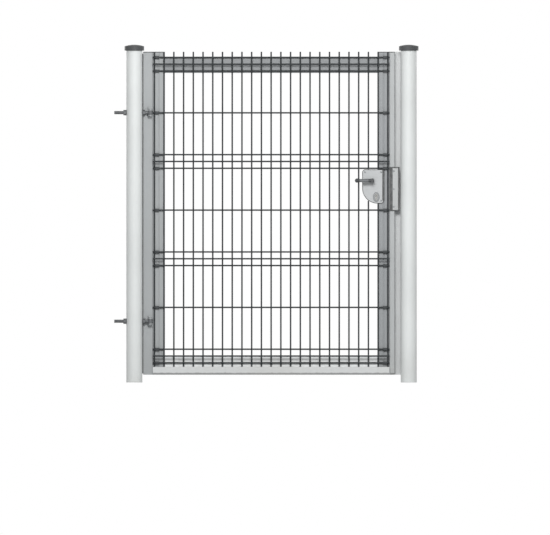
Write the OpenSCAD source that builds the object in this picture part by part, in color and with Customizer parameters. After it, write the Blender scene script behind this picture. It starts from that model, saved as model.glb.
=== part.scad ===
// Pedestrian gate: one leaf, a folded welded mesh in a frame of rebated hollow profiles,
// hung on two eye bolts between round tube posts. Millimetres, +Z up.
// The origin is the centre of the hinge post's foot, at ground level. +X runs to the
// latch post and +Y to the back of the gate. The leaf opens to the front, towards -Y.

/* [Clearances] */
// Clearance round a piece that fits into or over another
fit_gap = 0.3; // [0.2:0.1:0.6]
// Clearance round the lock's turning parts and its bolt
turn_gap = 0.5; // [0.3:0.1:1]
// Running clearance between the leaf and what stays still
run_gap = 5.5; // [5:0.25:8]

/* [Posts] */
// Clear width between the two posts
opening_w = 1328; // [900:1:1600]
// Outside diameter of the post tubes
post_d = 82.5; // [76:0.5:102]
// Wall thickness of the post tubes
post_wall = 3; // [2:0.5:5]
// Thickness of the disc that closes each post's foot
foot_t = 5; // [3:1:10]
// How far a cap's rim stands out past its post
cap_rim = 9; // [4:0.5:14]
// Distance from the leaf's top up to the post caps
cap_rise = 6; // [5.5:0.5:60]
// Height of a post cap
cap_h = 30; // [28:1:50]
// How far a cap reaches down over its post
cap_skirt = 16; // [10:1:16]
// Rise of the dome on a post cap
cap_dome = 8; // [4:1:12]

/* [Leaf frame] */
// Gap between the leaf and the hinge post
hinge_gap = 4; // [3:0.5:12]
// Gap between the leaf and the latch post
latch_gap = 31.25; // [28:0.25:40]
// Gap between the ground and the leaf
ground_gap = 40; // [30:1:120]
// Height of the leaf
leaf_h = 1660; // [1400:1:1680]
// Depth of the frame from front to back
leaf_d = 40; // [36:1:60]
// Wall thickness of the frame profiles
frame_wall = 2; // [1.5:0.5:3]
// Radius of the profiles' long edges
edge_r = 3; // [2.5:0.5:4]
// Width of the hinge stile's raised lip
hinge_lip_w = 48; // [44:1:60]
// Width of the lock stile's raised lip
lock_lip_w = 25; // [22:1:32]
// Width of the stiles' flanges
flange_w = 63; // [60:1:70]
// How far the lips stand in front of the flanges that carry the mesh
lip_step = 15; // [12:1:18]
// Width of the groove along the middle of a stile's flange
groove_w = 4; // [3:0.5:6]
// Depth of that groove
groove_d = 2; // [1:0.5:3]
// Height of the bottom rail
bottom_rail_h = 96; // [70:1:120]
// Height of the bottom rail's raised lip
bottom_lip_h = 40; // [25:1:50]
// Height of the top rail
top_rail_h = 82; // [50:1:100]
// Depth of the top rail from front to back
top_rail_d = 25; // [20:1:35]
// Distance from the stiles' tops down to the top rail
top_rail_drop = 27; // [10:1:60]
// Thickness of the plugs on the stiles' tops
plug_t = 4; // [3:1:8]

/* [Mesh panel] */
// Thickness of the wires
wire_d = 8; // [4:0.5:10]
// Distance between the upright wires
wire_pitch = 50; // [40:1:75]
// How deep the wires sink into each other where they are welded
weld_sink = 1; // [0.5:0.25:1.5]
// Number of V folds
fold_count = 4; // [3:1:5]
// Height of a V fold
fold_h = 70; // [50:1:90]
// How far a V fold stands out to the front
fold_d = 22; // [15:1:26]
// Height of the lowest fold's middle above the leaf's lower edge
first_fold = 96; // [80:1:140]
// Distance from the leaf's top down to the highest fold's middle
last_fold = 64; // [55:1:120]
// Clearance between the wires' ends and the lips
panel_gap = 1.5; // [1:0.25:3]
// Least distance from an upright wire's middle to a lip
wire_margin = 6; // [5:0.5:12]
// Length of the clips that hold the panel to the stiles
clip_l = 20; // [14:1:26]
// Height of a clip
clip_h = 14; // [12:1:20]
// Wall of a clip in front of its wire
clip_t = 3; // [2:0.5:5]

/* [Hinges] */
// Distance from the leaf's top down to the upper hinge
upper_hinge_drop = 313; // [200:1:400]
// Distance from the leaf's lower edge up to the lower hinge
lower_hinge_rise = 275; // [180:1:400]
// Width of a hinge bracket
bracket_w = 22; // [22:1:30]
// Diameter of an eye bolt's shank
shank_d = 16; // [14:1:22]
// How far a shank runs past the post
shank_tail = 62; // [35:1:80]
// Outside diameter of an eye
eye_d = 28; // [24:1:34]
// Height of an eye
eye_h = 20; // [18:1:40]
// Diameter of a hinge pin
pin_d = 14; // [12:1:16]
// Clearance all round the pin in its eye
pin_gap = 0.3; // [0.2:0.1:0.6]
// Clearance between an eye and the lugs above and below it
lug_gap = 0.5; // [0.3:0.1:1]
// Thickness of a lug
lug_t = 6; // [4:1:10]
// Thickness of a bracket's back plate
bracket_t = 4; // [3:1:8]
// Height of a bracket's back plate
bracket_h = 60; // [56:1:120]
// Diameter of the pin's head
pin_head_d = 20; // [18:1:30]
// Thickness of the pin's head and of its lower collar
pin_head_t = 3; // [2:0.5:8]
// Width across the flats of a shank nut
nut_af = 24; // [24:1:34]
// Thickness of a shank nut
nut_t = 13; // [8:1:16]
// Diameter of a nut's flange
nut_flange_d = 29; // [28:0.5:44]
// Thickness of a nut's flange
nut_flange_t = 2; // [1.5:0.5:5]

/* [Lock] */
// Height of the lever's spindle above the ground
lock_z = 1038; // [900:1:1100]
// Distance from the spindle to the leaf's latch edge
backset = 114.5; // [105:0.5:125]
// Thickness of the two lock plates
lock_plate_t = 4; // [2:0.5:6]
// Reach of the lock plates from the spindle away from the latch edge
plate_left = 49; // [42:1:60]
// Reach of the lock plates from the spindle towards the latch edge
plate_right = 56; // [48:1:62]
// Reach of the lock plates above the spindle
plate_up = 54; // [45:1:70]
// Reach of the lock plates below the spindle
plate_down = 115; // [105:1:130]
// Radius of the lock plates' large lower corner
plate_big_r = 75; // [50:1:80]
// Radius of the lock plates' small corners
plate_small_r = 12; // [8:1:12]
// How far the lock case stays inside the edge of its plates
case_inset = 7; // [4:1:10]
// How far the case is let into the lock stile
case_let_in = 13.5; // [8:0.5:16]
// Clearance between the mesh and the lock plates
mesh_gap = 4; // [3:0.5:6]
// Diameter of the collar round a lever's neck
collar_d = 30; // [28:1:36]
// Length of the collar
collar_l = 6; // [4:1:10]
// Diameter of a lever's neck
neck_d = 20; // [16:1:22]
// Distance from a lock plate to the middle of the lever
lever_reach = 46; // [40:1:60]
// Length of a lever from the spindle
lever_l = 90; // [80:1:120]
// Diameter of a lever at the neck
lever_d0 = 18; // [14:1:20]
// Diameter of a lever near its end
lever_d1 = 14; // [12:1:18]
// Diameter of the round end of a lever
knob_d = 22; // [18:1:26]
// Side of the square spindle
spindle_w = 8; // [7:1:10]
// How deep the spindle goes into a lever's neck
spindle_seat = 30; // [20:1:34]
// Distance from the spindle down to the key cylinder's round part
cylinder_drop = 77; // [70:1:90]
// Distance from the spindle to the key cylinder, towards the latch edge
cylinder_side = 20; // [0:1:22]
// Diameter of the key cylinder's round part
cylinder_d = 17; // [16:0.5:18]
// Height of the key cylinder
cylinder_h = 33; // [30:1:34]
// Width of the key cylinder's lower part
cylinder_w = 10; // [9:0.5:11]
// How far the key cylinder stands out of each lock plate
cylinder_proud = 3; // [2:0.5:5]

/* [Latch] */
// Width of the guard plate on the lock stile's lip behind its outer edge
guard_lap = 27.5; // [22:0.5:30]
// Reach of the guard plate and the keep above the spindle
guard_up = 70; // [55:1:90]
// Reach of the guard plate and the keep below the spindle
guard_down = 157; // [120:1:180]
// Thickness of the guard plate
guard_t = 3; // [2:0.5:5]
// Thickness of the faceplate on the leaf's latch edge
faceplate_t = 3; // [2:0.5:5]
// Width of the faceplate
faceplate_w = 24; // [20:1:30]
// Height of the faceplate
faceplate_h = 170; // [150:1:200]
// Distance from the spindle down to the middle of the latch bolt
bolt_drop = 38; // [20:1:60]
// Thickness of the latch bolt
bolt_t = 12; // [10:1:14]
// Height of the latch bolt
bolt_h = 32; // [24:1:40]
// How far the bevel runs back from the latch bolt's nose
bolt_bevel = 9.5; // [6:0.5:14]
// Thickness of the stop profile on the latch post
stop_t = 3; // [2:0.5:5]
// How far the stop profile reaches behind the leaf
stop_lap = 14; // [10:1:20]
// Thickness of the keep
keep_t = 4; // [3:0.5:6]
// Clearance round the latch bolt in the keep
keep_gap = 2; // [1:0.5:4]
// Thickness of the rubber pads on the stop profile
rubber_t = 6; // [4:1:10]
// Height of a rubber pad
rubber_h = 60; // [40:1:100]

/* [Hidden] */
$fn = 64;

// A cut runs this far past the face that it opens
over = 1;
// The inside of a profile is never sharper than this
least_r = 0.5;

// Posts and leaf, seen from the front
post_r = post_d / 2;
latch_post_x = opening_w + post_d;
leaf_x0 = post_r + hinge_gap;
leaf_x1 = post_r + opening_w - latch_gap;
field_x0 = leaf_x0 + hinge_lip_w;
field_x1 = leaf_x1 - lock_lip_w;
leaf_z0 = ground_gap;
leaf_z1 = ground_gap + leaf_h;
post_h = leaf_z1 + cap_rise + cap_skirt;
upper_hinge_z = leaf_z1 - upper_hinge_drop;
lower_hinge_z = leaf_z0 + lower_hinge_rise;

// Depths: the hinge axis lies in the plane of the posts and the leaf hangs behind it
pivot_x = field_x0 - bracket_w / 2;
leaf_y0 = max(eye_d / 2 + bracket_t, nut_flange_d / 2) + run_gap;
flange_y = leaf_y0 + lip_step;
leaf_y1 = leaf_y0 + leaf_d;

// Mesh panel: the upright wires lie on the flanges and the level wires in front of them
panel_x0 = field_x0 + panel_gap;
panel_x1 = field_x1 - panel_gap;
panel_z0 = leaf_z0 + bottom_lip_h + panel_gap;
upright_y = flange_y - wire_d / 2;
level_y = upright_y - wire_d + weld_sink;
upright_room = field_x1 - field_x0 - 2 * wire_margin;
upright_count = floor(upright_room / wire_pitch) + 1;
upright_x0 = (field_x0 + field_x1 - (upright_count - 1) * wire_pitch) / 2;
upright_x1 = upright_x0 + (upright_count - 1) * wire_pitch;
fold_angle = atan(fold_d / (fold_h / 2));
fold_z0 = leaf_z0 + first_fold;
fold_pitch = (leaf_z1 - last_fold - fold_z0) / (fold_count - 1);
fold_z = [for (i = [0 : fold_count - 1]) fold_z0 + i * fold_pitch];
// Level wires that lie flat on the uprights: two at each fold, one between folds
flat_z = concat(
    [for (z = fold_z, side = [-1, 1]) z + side * fold_h / 2],
    [for (i = [0 : fold_count - 2]) fold_z[i] + fold_pitch / 2]
);
tip_y = upright_y - fold_d - wire_d / 2 / cos(fold_angle) - wire_d / 2 + weld_sink;

// Lock
spindle_x = leaf_x1 - backset;
cylinder_x = spindle_x + cylinder_side;
cylinder_z = lock_z - cylinder_drop;
case_x1 = field_x1 - flange_w + case_let_in;
case_z0 = lock_z - plate_down + case_inset;
case_z1 = lock_z + plate_up - case_inset;
bolt_z = lock_z - bolt_drop;
bolt_y = (leaf_y0 + leaf_y1) / 2;

// What stands out of the latch edge stays inside this radius as it swings past the post
swing_r = post_r + opening_w - run_gap - pivot_x;
function swing_x(y) = pivot_x + sqrt(swing_r * swing_r - y * y);

// Stop profile: its side leg meets the post's round behind the guard plate
stop_y0 = leaf_y0 + run_gap;
stop_y1 = leaf_y1 + run_gap + rubber_t;
stop_x0 = leaf_x1 - stop_lap;
stop_x1 = latch_post_x - sqrt(post_r * post_r - stop_y0 * stop_y0);
keep_x1 = stop_x1 - stop_t;

// ---- shared shapes ----

// Upright post tube, closed at its foot, with level holes at the given heights
module post_tube(hole_heights) {
    difference() {
        cylinder(d = post_d, h = post_h);
        translate([0, 0, foot_t]) cylinder(r = post_r - post_wall, h = post_h);
        for (z = hole_heights)
            translate([0, 0, z]) rotate([0, 90, 0])
                cylinder(d = shank_d + 2 * fit_gap, h = post_d + 2 * over, center = true);
    }
}

// Domed plastic cap that slips over a post's top
module post_cap() {
    rim_r = post_r + cap_rim;
    dome_r = (rim_r * rim_r + cap_dome * cap_dome) / (2 * cap_dome);
    color("#23272a")
    translate([0, 0, post_h - cap_skirt])
        difference() {
            intersection() {
                cylinder(r = rim_r, h = cap_h);
                translate([0, 0, cap_h - dome_r]) sphere(r = dome_r, $fn = 128);
            }
            translate([0, 0, -over]) cylinder(r = post_r + fit_gap, h = cap_skirt + over);
        }
}

// Flat shape of a square between two corners with round corners
module round_square(x0, y0, x1, y1, r) {
    translate([x0 + r, y0]) square([x1 - x0 - 2 * r, y1 - y0]);
    translate([x0, y0 + r]) square([x1 - x0, y1 - y0 - 2 * r]);
    for (x = [x0 + r, x1 - r], y = [y0 + r, y1 - r])
        translate([x, y]) circle(r, $fn = 24);
}

// Radius of a profile's edge on a line that lies this far inside the profile's outline
function inset_r(inset) = max(edge_r - inset, least_r);

// Section of the rebated profile: x runs from its outer edge inwards, y from front to back
module rebated_section(width, lip, inset = 0) {
    r = inset_r(inset);
    round_square(inset, inset, lip - inset, leaf_d - inset, r);
    round_square(inset, lip_step + inset, width - inset, leaf_d - inset, r);
}

// The stiles' section has a groove along the middle of its flange as well
module stile_section(lip, inset = 0) {
    r = inset_r(inset);
    groove_x = lip + (flange_w - groove_w) / 2;
    round_square(inset, inset, lip - inset, leaf_d - inset, r);
    round_square(inset, lip_step + inset, groove_x - inset, leaf_d - inset, r);
    round_square(groove_x + groove_w + inset, lip_step + inset,
                 lip + flange_w - inset, leaf_d - inset, r);
    round_square(inset, lip_step + groove_d + inset, lip + flange_w - inset, leaf_d - inset, r);
}

// Stile seen from its outer edge at x = 0, with its foot closed
module stile(lip) {
    translate([0, leaf_y0, leaf_z0])
        difference() {
            linear_extrude(leaf_h - plug_t) stile_section(lip);
            translate([0, 0, frame_wall]) linear_extrude(leaf_h) stile_section(lip, frame_wall);
        }
}

module stile_plug(lip) {
    color("#23272a")
    translate([0, leaf_y0, leaf_z1 - plug_t]) linear_extrude(plug_t) stile_section(lip);
}

// Turns a section from (depth, height) into a bar that runs along X
module along_x(x0, x1) {
    translate([x0, 0, 0]) rotate([90, 0, 90]) linear_extrude(x1 - x0) children();
}

// Turns a shape drawn in (x, z) into a plate between two depths
module along_y(y0, y1) {
    translate([0, y1, 0]) rotate([90, 0, 0]) linear_extrude(y1 - y0) children();
}

// ---- posts ----

module hinge_post() {
    color("#dde1df") post_tube([lower_hinge_z, upper_hinge_z]);
}

module latch_post() {
    color("#dde1df") translate([latch_post_x, 0, 0]) post_tube([]);
}

module hinge_post_cap() {
    post_cap();
}

module latch_post_cap() {
    translate([latch_post_x, 0, 0]) post_cap();
}

// ---- frame ----

module hinge_stile() {
    color("#8d9498") translate([leaf_x0, 0, 0]) stile(hinge_lip_w);
}

module lock_stile() {
    color("#8d9498")
    difference() {
        translate([leaf_x1, 0, 0]) mirror([1, 0, 0]) stile(lock_lip_w);
        // Pocket for the lock case
        translate([case_x1 - case_let_in - over, flange_y - over, case_z0])
            cube([case_let_in + over, leaf_d, case_z1 - case_z0]);
    }
}

module hinge_stile_plug() {
    translate([leaf_x0, 0, 0]) stile_plug(hinge_lip_w);
}

module lock_stile_plug() {
    translate([leaf_x1, 0, 0]) mirror([1, 0, 0]) stile_plug(lock_lip_w);
}

// The rail's lip runs on in front of the stiles' flanges to meet their lips
module bottom_rail() {
    color("#8d9498")
    difference() {
        translate([0, leaf_y0, leaf_z0])
            along_x(field_x0, field_x1)
                mirror([1, -1])
                    difference() {
                        rebated_section(bottom_rail_h, bottom_lip_h);
                        rebated_section(bottom_rail_h, bottom_lip_h, frame_wall);
                    }
        for (x0 = [field_x0 - over, field_x1 - flange_w])
            translate([x0, flange_y, leaf_z0 - over])
                cube([flange_w + over, leaf_d, bottom_rail_h + 2 * over]);
    }
}

module top_rail() {
    rail_z1 = leaf_z1 - top_rail_drop;
    rail_z0 = rail_z1 - top_rail_h;
    color("#8d9498")
    along_x(field_x0 + flange_w, field_x1 - flange_w)
        difference() {
            round_square(flange_y, rail_z0, flange_y + top_rail_d, rail_z1, edge_r);
            round_square(flange_y + frame_wall, rail_z0 + frame_wall,
                         flange_y + top_rail_d - frame_wall, rail_z1 - frame_wall,
                         inset_r(frame_wall));
        }
}

// ---- mesh panel ----

// Centre line of an upright wire in (y, z), with its V folds
upright_line = concat(
    [[0, panel_z0]],
    [for (z = fold_z) each [[0, z - fold_h / 2], [-fold_d, z], [0, z + fold_h / 2]]],
    [[0, leaf_z1]]
);

function unit(v) = v / norm(v);
function heading(i) = unit(upright_line[i + 1] - upright_line[i]);
function left_of(d) = [-d[1], d[0]];
// Sideways step at point i that keeps the wire's thickness on both sides of the bend
function mitre(i) =
    let (last = len(upright_line) - 1,
         a = left_of(heading(max(i - 1, 0))),
         b = left_of(heading(min(i, last - 1))))
    (a + b) / (1 + a * b);
function wire_side(offset) =
    [for (i = [0 : len(upright_line) - 1]) upright_line[i] + offset * mitre(i)];
function backwards(v) = [for (i = [len(v) - 1 : -1 : 0]) v[i]];

module upright_wire() {
    along_x(-wire_d / 2, wire_d / 2)
        polygon(concat(wire_side(wire_d / 2), backwards(wire_side(-wire_d / 2))));
}

module level_wire(y, z) {
    translate([panel_x0, y - wire_d / 2, z - wire_d / 2])
        cube([panel_x1 - panel_x0, wire_d, wire_d]);
}

module mesh_panel() {
    color("#5c6468")
    difference() {
        union() {
            for (i = [0 : upright_count - 1])
                translate([upright_x0 + i * wire_pitch, upright_y, 0]) upright_wire();
            for (z = flat_z) level_wire(level_y, z);
            for (z = fold_z) level_wire(tip_y, z);
        }
        // Room for the lock
        along_y(tip_y - wire_d, flange_y + over) lock_outline(mesh_gap);
    }
}

// Clips over the level wires' ends, beside the outermost upright wire
module clips(x) {
    clip_y0 = level_y - wire_d / 2 - fit_gap - clip_t;
    slot_h = wire_d + 2 * fit_gap;
    color("#3c4246")
    for (z = flat_z)
        translate([x, 0, z])
            difference() {
                translate([-clip_l / 2, clip_y0, -clip_h / 2])
                    cube([clip_l, flange_y - clip_y0, clip_h]);
                translate([-clip_l / 2 - over, clip_y0 + clip_t, -slot_h / 2])
                    cube([clip_l + 2 * over, leaf_d, slot_h]);
            }
}

clip_offset = wire_d / 2 + fit_gap + clip_l / 2;

module hinge_side_clips() {
    clips(upright_x0 + clip_offset);
}

module lock_side_clips() {
    clips(upright_x1 - clip_offset);
}

// ---- hinges ----

module hinge_bolt(z) {
    tail_x = -post_r - shank_tail;
    color("#9aa0a3")
    translate([0, 0, z])
        difference() {
            union() {
                translate([tail_x, 0, 0]) rotate([0, 90, 0])
                    cylinder(d = shank_d, h = pivot_x - tail_x);
                translate([pivot_x, 0, 0]) cylinder(d = eye_d, h = eye_h, center = true);
            }
            translate([pivot_x, 0, 0])
                cylinder(d = pin_d + 2 * pin_gap, h = eye_h + 2 * over, center = true);
        }
}

// Flanged nut with its flange towards -X, drawn from x = 0
module flanged_nut() {
    rotate([0, 90, 0])
        difference() {
            union() {
                cylinder(d = nut_flange_d, h = nut_flange_t);
                cylinder(d = nut_af / cos(30), h = nut_flange_t + nut_t, $fn = 6);
            }
            translate([0, 0, -over])
                cylinder(d = shank_d + fit_gap, h = nut_flange_t + nut_t + 2 * over);
        }
}

module hinge_nuts(z) {
    color("#8a9093")
    translate([0, 0, z]) {
        translate([post_r, 0, 0]) flanged_nut();
        mirror([1, 0, 0]) translate([post_r, 0, 0]) flanged_nut();
    }
}

// Back plate on the hinge stile's lip with two lugs that take the pin
module hinge_bracket(z) {
    lug_z = eye_h / 2 + lug_gap;
    plate_y0 = leaf_y0 - bracket_t;
    color("#8d9498")
    translate([pivot_x, 0, z])
        difference() {
            union() {
                translate([-bracket_w / 2, plate_y0, -bracket_h / 2])
                    cube([bracket_w, bracket_t, bracket_h]);
                for (low = [lug_z, -lug_z - lug_t])
                    translate([0, 0, low]) {
                        cylinder(d = bracket_w, h = lug_t);
                        translate([-bracket_w / 2, 0, 0]) cube([bracket_w, plate_y0, lug_t]);
                    }
            }
            cylinder(d = pin_d + fit_gap, h = bracket_h, center = true);
        }
}

module hinge_pin(z) {
    shank_z = eye_h / 2 + lug_gap + lug_t;
    color("#9aa0a3")
    translate([pivot_x, 0, z]) {
        cylinder(d = pin_d, h = 2 * shank_z, center = true);
        for (low = [shank_z, -shank_z - pin_head_t])
            translate([0, 0, low]) cylinder(d = pin_head_d, h = pin_head_t);
    }
}

module upper_hinge_bolt() { hinge_bolt(upper_hinge_z); }
module lower_hinge_bolt() { hinge_bolt(lower_hinge_z); }
module upper_hinge_nuts() { hinge_nuts(upper_hinge_z); }
module lower_hinge_nuts() { hinge_nuts(lower_hinge_z); }
module upper_hinge_bracket() { hinge_bracket(upper_hinge_z); }
module lower_hinge_bracket() { hinge_bracket(lower_hinge_z); }
module upper_hinge_pin() { hinge_pin(upper_hinge_z); }
module lower_hinge_pin() { hinge_pin(lower_hinge_z); }

// ---- lock ----

// What a round corner leaves of a square one, drawn from that corner
module corner_waste(r) {
    difference() {
        translate([-over, -over]) square(r + over);
        translate([r, r]) circle(r);
    }
}

// Outline of the lock plates in (x, z), grown or shrunk all round
module lock_outline(grow = 0) {
    x0 = spindle_x - plate_left - grow;
    x1 = spindle_x + plate_right + grow;
    z0 = lock_z - plate_down - grow;
    z1 = lock_z + plate_up + grow;
    small_r = plate_small_r + grow;
    difference() {
        translate([x0, z0]) square([x1 - x0, z1 - z0]);
        translate([x0, z0]) corner_waste(plate_big_r + grow);
        translate([x1, z0]) mirror([1, 0]) corner_waste(small_r);
        translate([x0, z1]) mirror([0, 1]) corner_waste(small_r);
    }
}

// Outline of a profile cylinder in (x, z)
module cylinder_outline(grow = 0) {
    translate([cylinder_x, cylinder_z]) {
        circle(d = cylinder_d + 2 * grow);
        tail = cylinder_h - cylinder_d / 2;
        translate([-cylinder_w / 2 - grow, -tail - grow + cylinder_w / 2])
            square([cylinder_w + 2 * grow, tail - cylinder_w / 2]);
        translate([0, cylinder_w / 2 - tail]) circle(d = cylinder_w + 2 * grow);
    }
}

module spindle_hole(y0, y1, d) {
    along_y(y0, y1) translate([spindle_x, lock_z]) circle(d = d);
}

spindle_bore = spindle_w * sqrt(2) + 2 * turn_gap;

module lock_case() {
    color("#6f767a")
    difference() {
        along_y(flange_y, leaf_y1)
            intersection() {
                lock_outline(-case_inset);
                translate([0, case_z0]) square([case_x1, case_z1 - case_z0]);
            }
        spindle_hole(flange_y - over, leaf_y1 + over, spindle_bore);
        along_y(flange_y - over, leaf_y1 + over) cylinder_outline(fit_gap);
    }
}

// Lock plate with its back at y = 0 and its collar towards -Y
module lock_plate() {
    color("#c9ced0")
    difference() {
        union() {
            along_y(-lock_plate_t, 0) lock_outline();
            spindle_hole(-lock_plate_t - collar_l, -lock_plate_t, collar_d);
        }
        spindle_hole(-lock_plate_t - collar_l - over, -lock_plate_t, neck_d + 2 * turn_gap);
        spindle_hole(-lock_plate_t - over, over, spindle_bore);
        along_y(-lock_plate_t - over, over) cylinder_outline(fit_gap);
    }
}

module front_lock_plate() {
    translate([0, flange_y, 0]) lock_plate();
}

module back_lock_plate() {
    translate([0, leaf_y1, 0]) mirror([0, 1, 0]) lock_plate();
}

module lock_cylinder() {
    reach = lock_plate_t + cylinder_proud;
    color("#b9b08a")
    along_y(flange_y - reach, leaf_y1 + reach) cylinder_outline();
}

// Lever with its neck towards a lock plate whose face is at y = 0; it points to -X
module lever() {
    grip_l = lever_l - knob_d / 2;
    color("#2b2f31")
    translate([spindle_x, 0, lock_z])
        difference() {
            union() {
                rotate([90, 0, 0]) translate([0, 0, turn_gap])
                    cylinder(d = neck_d, h = lever_reach + neck_d / 2 - turn_gap);
                translate([0, -lever_reach, 0]) rotate([0, -90, 0]) {
                    cylinder(d1 = lever_d0, d2 = lever_d1, h = grip_l);
                    translate([0, 0, grip_l]) sphere(d = knob_d);
                }
            }
            translate([-spindle_w / 2, -spindle_seat, -spindle_w / 2])
                cube([spindle_w, spindle_seat + over, spindle_w]);
        }
}

module front_lever() {
    translate([0, flange_y - lock_plate_t, 0]) lever();
}

module back_lever() {
    translate([0, leaf_y1 + lock_plate_t, 0]) mirror([0, 1, 0]) lever();
}

module spindle() {
    y0 = flange_y - lock_plate_t - spindle_seat;
    y1 = leaf_y1 + lock_plate_t + spindle_seat;
    color("#9aa0a3")
    translate([spindle_x - spindle_w / 2, y0, lock_z - spindle_w / 2])
        cube([spindle_w, y1 - y0, spindle_w]);
}

// ---- latch edge and keep ----

module guard_plate() {
    x0 = leaf_x1 - guard_lap;
    color("#a9afb2")
    translate([x0, leaf_y0 - guard_t, lock_z - guard_down])
        cube([swing_x(leaf_y0) - x0, guard_t, guard_down + guard_up]);
}

module lock_faceplate() {
    color("#b4babd")
    difference() {
        translate([leaf_x1, bolt_y - faceplate_w / 2, bolt_z - faceplate_h / 2])
            cube([faceplate_t, faceplate_w, faceplate_h]);
        translate([leaf_x1 - over, bolt_y - bolt_t / 2 - turn_gap, bolt_z - bolt_h / 2 - turn_gap])
            cube([faceplate_t + 2 * over, bolt_t + 2 * turn_gap, bolt_h + 2 * turn_gap]);
    }
}

// Latch bolt drawn back, its nose bevelled on the closing side
module latch_bolt() {
    reach = swing_x(bolt_y + bolt_t / 2) - leaf_x1;
    color("#c9ced0")
    translate([leaf_x1, bolt_y - bolt_t / 2, bolt_z - bolt_h / 2])
        linear_extrude(bolt_h)
            polygon([[0, 0], [reach, 0], [reach - bolt_bevel, bolt_t], [0, bolt_t]]);
}

// Opening for the latch bolt through the keep and the stop profile
module bolt_window() {
    translate([keep_x1 - keep_t - over, bolt_y - bolt_t / 2 - keep_gap,
               bolt_z - bolt_h / 2 - keep_gap])
        cube([keep_t + stop_t + 2 * over, bolt_t + 2 * keep_gap, bolt_h + 2 * keep_gap]);
}

// Angle along the latch post, as high as the leaf, that closes the gap from behind
module stop_profile() {
    color("#d3d8d6")
    difference() {
        translate([0, 0, leaf_z0])
            linear_extrude(leaf_h) {
                translate([stop_x1 - stop_t, stop_y0])
                    square([stop_t, stop_y1 + stop_t - stop_y0]);
                translate([stop_x0, stop_y1]) square([stop_x1 - stop_x0, stop_t]);
            }
        bolt_window();
    }
}

// Striking plate on the stop profile's side leg
module keep() {
    color("#9aa0a3")
    difference() {
        translate([keep_x1 - keep_t, stop_y0, lock_z - guard_down])
            cube([keep_t, stop_y1 - stop_y0, guard_down + guard_up]);
        bolt_window();
    }
}

module stop_pads() {
    color("#1c1e20")
    for (z = [lower_hinge_z, bolt_z, upper_hinge_z])
        translate([stop_x0, stop_y1 - rubber_t, z - rubber_h / 2])
            cube([stop_lap, rubber_t, rubber_h]);
}

hinge_post();
latch_post();
hinge_post_cap();
latch_post_cap();
upper_hinge_bolt();
lower_hinge_bolt();
upper_hinge_nuts();
lower_hinge_nuts();
stop_profile();
keep();
stop_pads();
hinge_stile();
lock_stile();
bottom_rail();
top_rail();
hinge_stile_plug();
lock_stile_plug();
mesh_panel();
hinge_side_clips();
lock_side_clips();
upper_hinge_bracket();
lower_hinge_bracket();
upper_hinge_pin();
lower_hinge_pin();
lock_case();
front_lock_plate();
back_lock_plate();
lock_cylinder();
guard_plate();
lock_faceplate();
latch_bolt();
front_lever();
back_lever();
spindle();
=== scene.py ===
"""Looks of the pedestrian gate: finishes with painted light and shade, round wires, clips,
rubber trims, screws and welds.

Metres, in the frame of the CAD model: +X runs from the hinge post to the latch post, +Y to
the back and +Z up. Every piece is drawn where it sits with the gate shut.
"""

import math

import bmesh
import bpy
from mathutils import Matrix, Vector


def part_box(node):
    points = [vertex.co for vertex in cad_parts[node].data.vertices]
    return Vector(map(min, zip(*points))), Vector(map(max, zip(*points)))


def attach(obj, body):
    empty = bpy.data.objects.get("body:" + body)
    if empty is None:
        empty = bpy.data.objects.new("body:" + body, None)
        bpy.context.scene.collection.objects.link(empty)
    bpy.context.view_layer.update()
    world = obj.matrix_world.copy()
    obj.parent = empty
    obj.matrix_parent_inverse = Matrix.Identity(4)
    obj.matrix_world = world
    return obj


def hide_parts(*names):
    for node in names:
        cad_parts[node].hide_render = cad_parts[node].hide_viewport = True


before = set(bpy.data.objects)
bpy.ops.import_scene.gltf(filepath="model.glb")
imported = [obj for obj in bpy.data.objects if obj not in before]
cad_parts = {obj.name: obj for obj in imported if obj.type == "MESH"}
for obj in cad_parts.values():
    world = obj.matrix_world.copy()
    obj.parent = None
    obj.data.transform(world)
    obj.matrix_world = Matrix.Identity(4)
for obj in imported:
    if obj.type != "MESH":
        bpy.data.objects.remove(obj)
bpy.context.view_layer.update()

# ---------------------------------------------------------------- sizes

MM = 0.001

# Mesh panel
WIRE = 8 * MM
WIRE_PITCH = 50 * MM
WIRE_SINK = 1 * MM
UPRIGHTS = 25
FOLDS = 4
FOLD_PITCH = 500 * MM
FOLD_HEIGHT = 70 * MM
FOLD_DEPTH = 22 * MM
FOLD_BEND = 14 * MM
FIRST_FOLD_RISE = 96 * MM

# Frame
LIP_STEP = 15 * MM
BOTTOM_LIP = 40 * MM

# Lock plates
PLATE_BIG_RADIUS = 75 * MM
PLATE_SMALL_RADIUS = 12 * MM
PLATE_THICKNESS = 4 * MM
WIRE_TO_PLATE = 4 * MM
CYLINDER_RADIUS = 8.5 * MM

# Levers: the neck that turns in the plate, then a grip that thins towards the knob
NECK_RADIUS = 10 * MM
GRIP_LENGTH = 79 * MM
GRIP_START_RADIUS = 9 * MM
GRIP_END_RADIUS = 7 * MM

# Screw heads: radius, height and half the width of the socket
PLATE_SCREW = (4.2 * MM, 2.2 * MM, 1.7 * MM)
EDGE_SCREW = (4.6 * MM, 2.4 * MM, 1.9 * MM)
FACEPLATE_SCREW = (3.6 * MM, 1.6 * MM, 1.5 * MM)

# Where pieces of the CAD model lie
panel_low, panel_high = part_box("mesh_panel")
stile_low, stile_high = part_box("hinge_stile")
plate_low, plate_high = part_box("front_lock_plate")
back_plate_low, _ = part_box("back_lock_plate")
cylinder_low, cylinder_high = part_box("lock_cylinder")
flange_y = stile_low.y + LIP_STEP
cylinder_x = (cylinder_low.x + cylinder_high.x) / 2
cylinder_z = cylinder_high.z - CYLINDER_RADIUS

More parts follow.
